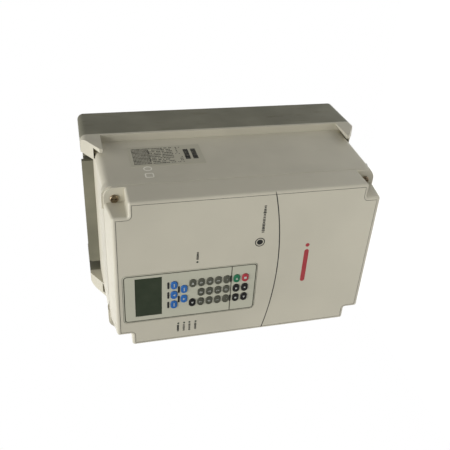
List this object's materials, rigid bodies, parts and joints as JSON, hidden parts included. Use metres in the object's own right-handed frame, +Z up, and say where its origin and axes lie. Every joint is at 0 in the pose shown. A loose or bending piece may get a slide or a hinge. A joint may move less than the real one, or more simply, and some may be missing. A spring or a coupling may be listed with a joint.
{
  "type": "variable frequency drive",
  "caption": "Wall-mounted sealed motor drive: finned heat sink, cast housing with bolt feet, lift-off cover with display and push-button keypad, cooling fan and boards inside.",
  "frame": {"origin": "centre of the four wall bolt holes, on the plane of the wall", "axes": "+Z up as installed, -Y out of the wall towards the user, +X to the user's right as they face the drive"},
  "size_m": [0.22, 0.2118, 0.35],
  "materials": {
    "sink_paint": "satin",
    "housing_plastic": "matt",
    "cover_plastic": "matt",
    "gasket_rubber": "matt",
    "zinc_steel": "satin",
    "bronze_steel": "satin",
    "module_black": "satin",
    "board_green": "satin",
    "capacitor_sleeve": "gloss",
    "terminal_grey": "matt",
    "terminal_green": "matt",
    "entry_plate_paint": "satin",
    "carrier_grey": "matt",
    "fan_black": "satin",
    "guard_wire": "satin",
    "plug_grey": "matt",
    "brass_stud": "satin",
    "label_film": "matt",
    "lamp_lens": "gloss",
    "keypad_plastic": "matt",
    "lcd_glass": "gloss",
    "lcd_frame": "matt",
    "key_blue": "matt",
    "key_black": "matt",
    "key_grey": "matt",
    "key_green": "matt",
    "key_red": "matt"
  },
  "bodies": {
    "chassis": {"board_carrier": "carrier_grey", "board_standoffs": "zinc_steel", "bus_capacitors": "capacitor_sleeve", "cable_entry_plate": "entry_plate_paint", "cable_entry_plugs": "plug_grey", "control_board": "board_green", "control_connector": "module_black", "control_terminal_block": "terminal_green", "current_sensors": "module_black", "fan_frame": "fan_black", "fan_guard": "guard_wire", "fan_screws": "zinc_steel", "ground_studs": "brass_stud", "heat_sink": "sink_paint", "housing_gaskets": "gasket_rubber", "housing_screws": "zinc_steel", "pan_head_screws": "zinc_steel", "power_board": "board_green", "power_module": "module_black", "power_terminal_block": "terminal_grey", "power_terminal_screws": "zinc_steel", "rating_label": "label_film", "rear_housing": "housing_plastic"},
    "fan_wheel": {"fan_rotor": "fan_black"},
    "cover": {"front_cover": "cover_plastic", "cover_gasket": "gasket_rubber", "cover_screws": "bronze_steel", "status_lamps": "lamp_lens", "keypad_bezel": "keypad_plastic", "lcd_window": "lcd_glass", "lcd_module": "lcd_frame", "keypad_board": "board_green", "key_switches": "gasket_rubber", "keypad_screws": "zinc_steel", "cover_connector": "module_black"},
    "key_alternate": {"key_alternate": "key_grey"},
    "key_clear": {"key_clear": "key_black"},
    "key_digit_0": {"key_digit_0": "key_grey"},
    "key_digit_1": {"key_digit_1": "key_grey"},
    "key_digit_2": {"key_digit_2": "key_grey"},
    "key_digit_3": {"key_digit_3": "key_grey"},
    "key_digit_4": {"key_digit_4": "key_grey"},
    "key_digit_5": {"key_digit_5": "key_grey"},
    "key_digit_6": {"key_digit_6": "key_grey"},
    "key_digit_7": {"key_digit_7": "key_grey"},
    "key_digit_8": {"key_digit_8": "key_grey"},
    "key_digit_9": {"key_digit_9": "key_grey"},
    "key_down": {"key_down": "key_blue"},
    "key_enter": {"key_enter": "key_blue"},
    "key_escape": {"key_escape": "key_blue"},
    "key_help": {"key_help": "key_black"},
    "key_jog": {"key_jog": "key_black"},
    "key_local": {"key_local": "key_black"},
    "key_point": {"key_point": "key_grey"},
    "key_reverse": {"key_reverse": "key_black"},
    "key_select": {"key_select": "key_blue"},
    "key_sign": {"key_sign": "key_grey"},
    "key_start": {"key_start": "key_green"},
    "key_stop": {"key_stop": "key_red"},
    "key_up": {"key_up": "key_blue"}
  },
  "joints": [
    {"name": "cover_lift_off", "type": "slide", "parent": "chassis", "child": "cover", "axis": [0, -1, 0], "range_m": [0, 0.1]},
    {"name": "fan_spin", "type": "hinge", "parent": "chassis", "child": "fan_wheel", "pos_m": [0, -0.02925, -0.16], "axis": [0, 0, 1], "continuous": true},
    {"name": "key_alternate_press", "type": "slide", "parent": "cover", "child": "key_alternate", "axis": [0, 1, 0], "range_m": [0, 0.0008], "stiffness_N_per_m": 1500, "springref_m": -0.0004},
    {"name": "key_clear_press", "type": "slide", "parent": "cover", "child": "key_clear", "axis": [0, 1, 0], "range_m": [0, 0.0008], "stiffness_N_per_m": 1500, "springref_m": -0.0004},
    {"name": "key_digit_0_press", "type": "slide", "parent": "cover", "child": "key_digit_0", "axis": [0, 1, 0], "range_m": [0, 0.0008], "stiffness_N_per_m": 1500, "springref_m": -0.0004},
    {"name": "key_digit_1_press", "type": "slide", "parent": "cover", "child": "key_digit_1", "axis": [0, 1, 0], "range_m": [0, 0.0008], "stiffness_N_per_m": 1500, "springref_m": -0.0004},
    {"name": "key_digit_2_press", "type": "slide", "parent": "cover", "child": "key_digit_2", "axis": [0, 1, 0], "range_m": [0, 0.0008], "stiffness_N_per_m": 1500, "springref_m": -0.0004},
    {"name": "key_digit_3_press", "type": "slide", "parent": "cover", "child": "key_digit_3", "axis": [0, 1, 0], "range_m": [0, 0.0008], "stiffness_N_per_m": 1500, "springref_m": -0.0004},
    {"name": "key_digit_4_press", "type": "slide", "parent": "cover", "child": "key_digit_4", "axis": [0, 1, 0], "range_m": [0, 0.0008], "stiffness_N_per_m": 1500, "springref_m": -0.0004},
    {"name": "key_digit_5_press", "type": "slide", "parent": "cover", "child": "key_digit_5", "axis": [0, 1, 0], "range_m": [0, 0.0008], "stiffness_N_per_m": 1500, "springref_m": -0.0004},
    {"name": "key_digit_6_press", "type": "slide", "parent": "cover", "child": "key_digit_6", "axis": [0, 1, 0], "range_m": [0, 0.0008], "stiffness_N_per_m": 1500, "springref_m": -0.0004},
    {"name": "key_digit_7_press", "type": "slide", "parent": "cover", "child": "key_digit_7", "axis": [0, 1, 0], "range_m": [0, 0.0008], "stiffness_N_per_m": 1500, "springref_m": -0.0004},
    {"name": "key_digit_8_press", "type": "slide", "parent": "cover", "child": "key_digit_8", "axis": [0, 1, 0], "range_m": [0, 0.0008], "stiffness_N_per_m": 1500, "springref_m": -0.0004},
    {"name": "key_digit_9_press", "type": "slide", "parent": "cover", "child": "key_digit_9", "axis": [0, 1, 0], "range_m": [0, 0.0008], "stiffness_N_per_m": 1500, "springref_m": -0.0004},
    {"name": "key_down_press", "type": "slide", "parent": "cover", "child": "key_down", "axis": [0, 1, 0], "range_m": [0, 0.0008], "stiffness_N_per_m": 1500, "springref_m": -0.0004},
    {"name": "key_enter_press", "type": "slide", "parent": "cover", "child": "key_enter", "axis": [0, 1, 0], "range_m": [0, 0.0008], "stiffness_N_per_m": 1500, "springref_m": -0.0004},
    {"name": "key_escape_press", "type": "slide", "parent": "cover", "child": "key_escape", "axis": [0, 1, 0], "range_m": [0, 0.0008], "stiffness_N_per_m": 1500, "springref_m": -0.0004},
    {"name": "key_help_press", "type": "slide", "parent": "cover", "child": "key_help", "axis": [0, 1, 0], "range_m": [0, 0.0008], "stiffness_N_per_m": 1500, "springref_m": -0.0004},
    {"name": "key_jog_press", "type": "slide", "parent": "cover", "child": "key_jog", "axis": [0, 1, 0], "range_m": [0, 0.0008], "stiffness_N_per_m": 1500, "springref_m": -0.0004},
    {"name": "key_local_press", "type": "slide", "parent": "cover", "child": "key_local", "axis": [0, 1, 0], "range_m": [0, 0.0008], "stiffness_N_per_m": 1500, "springref_m": -0.0004},
    {"name": "key_point_press", "type": "slide", "parent": "cover", "child": "key_point", "axis": [0, 1, 0], "range_m": [0, 0.0008], "stiffness_N_per_m": 1500, "springref_m": -0.0004},
    {"name": "key_reverse_press", "type": "slide", "parent": "cover", "child": "key_reverse", "axis": [0, 1, 0], "range_m": [0, 0.0008], "stiffness_N_per_m": 1500, "springref_m": -0.0004},
    {"name": "key_select_press", "type": "slide", "parent": "cover", "child": "key_select", "axis": [0, 1, 0], "range_m": [0, 0.0008], "stiffness_N_per_m": 1500, "springref_m": -0.0004},
    {"name": "key_sign_press", "type": "slide", "parent": "cover", "child": "key_sign", "axis": [0, 1, 0], "range_m": [0, 0.0008], "stiffness_N_per_m": 1500, "springref_m": -0.0004},
    {"name": "key_start_press", "type": "slide", "parent": "cover", "child": "key_start", "axis": [0, 1, 0], "range_m": [0, 0.0008], "stiffness_N_per_m": 1500, "springref_m": -0.0004},
    {"name": "key_stop_press", "type": "slide", "parent": "cover", "child": "key_stop", "axis": [0, 1, 0], "range_m": [0, 0.0008], "stiffness_N_per_m": 1500, "springref_m": -0.0004},
    {"name": "key_up_press", "type": "slide", "parent": "cover", "child": "key_up", "axis": [0, 1, 0], "range_m": [0, 0.0008], "stiffness_N_per_m": 1500, "springref_m": -0.0004}
  ]
}
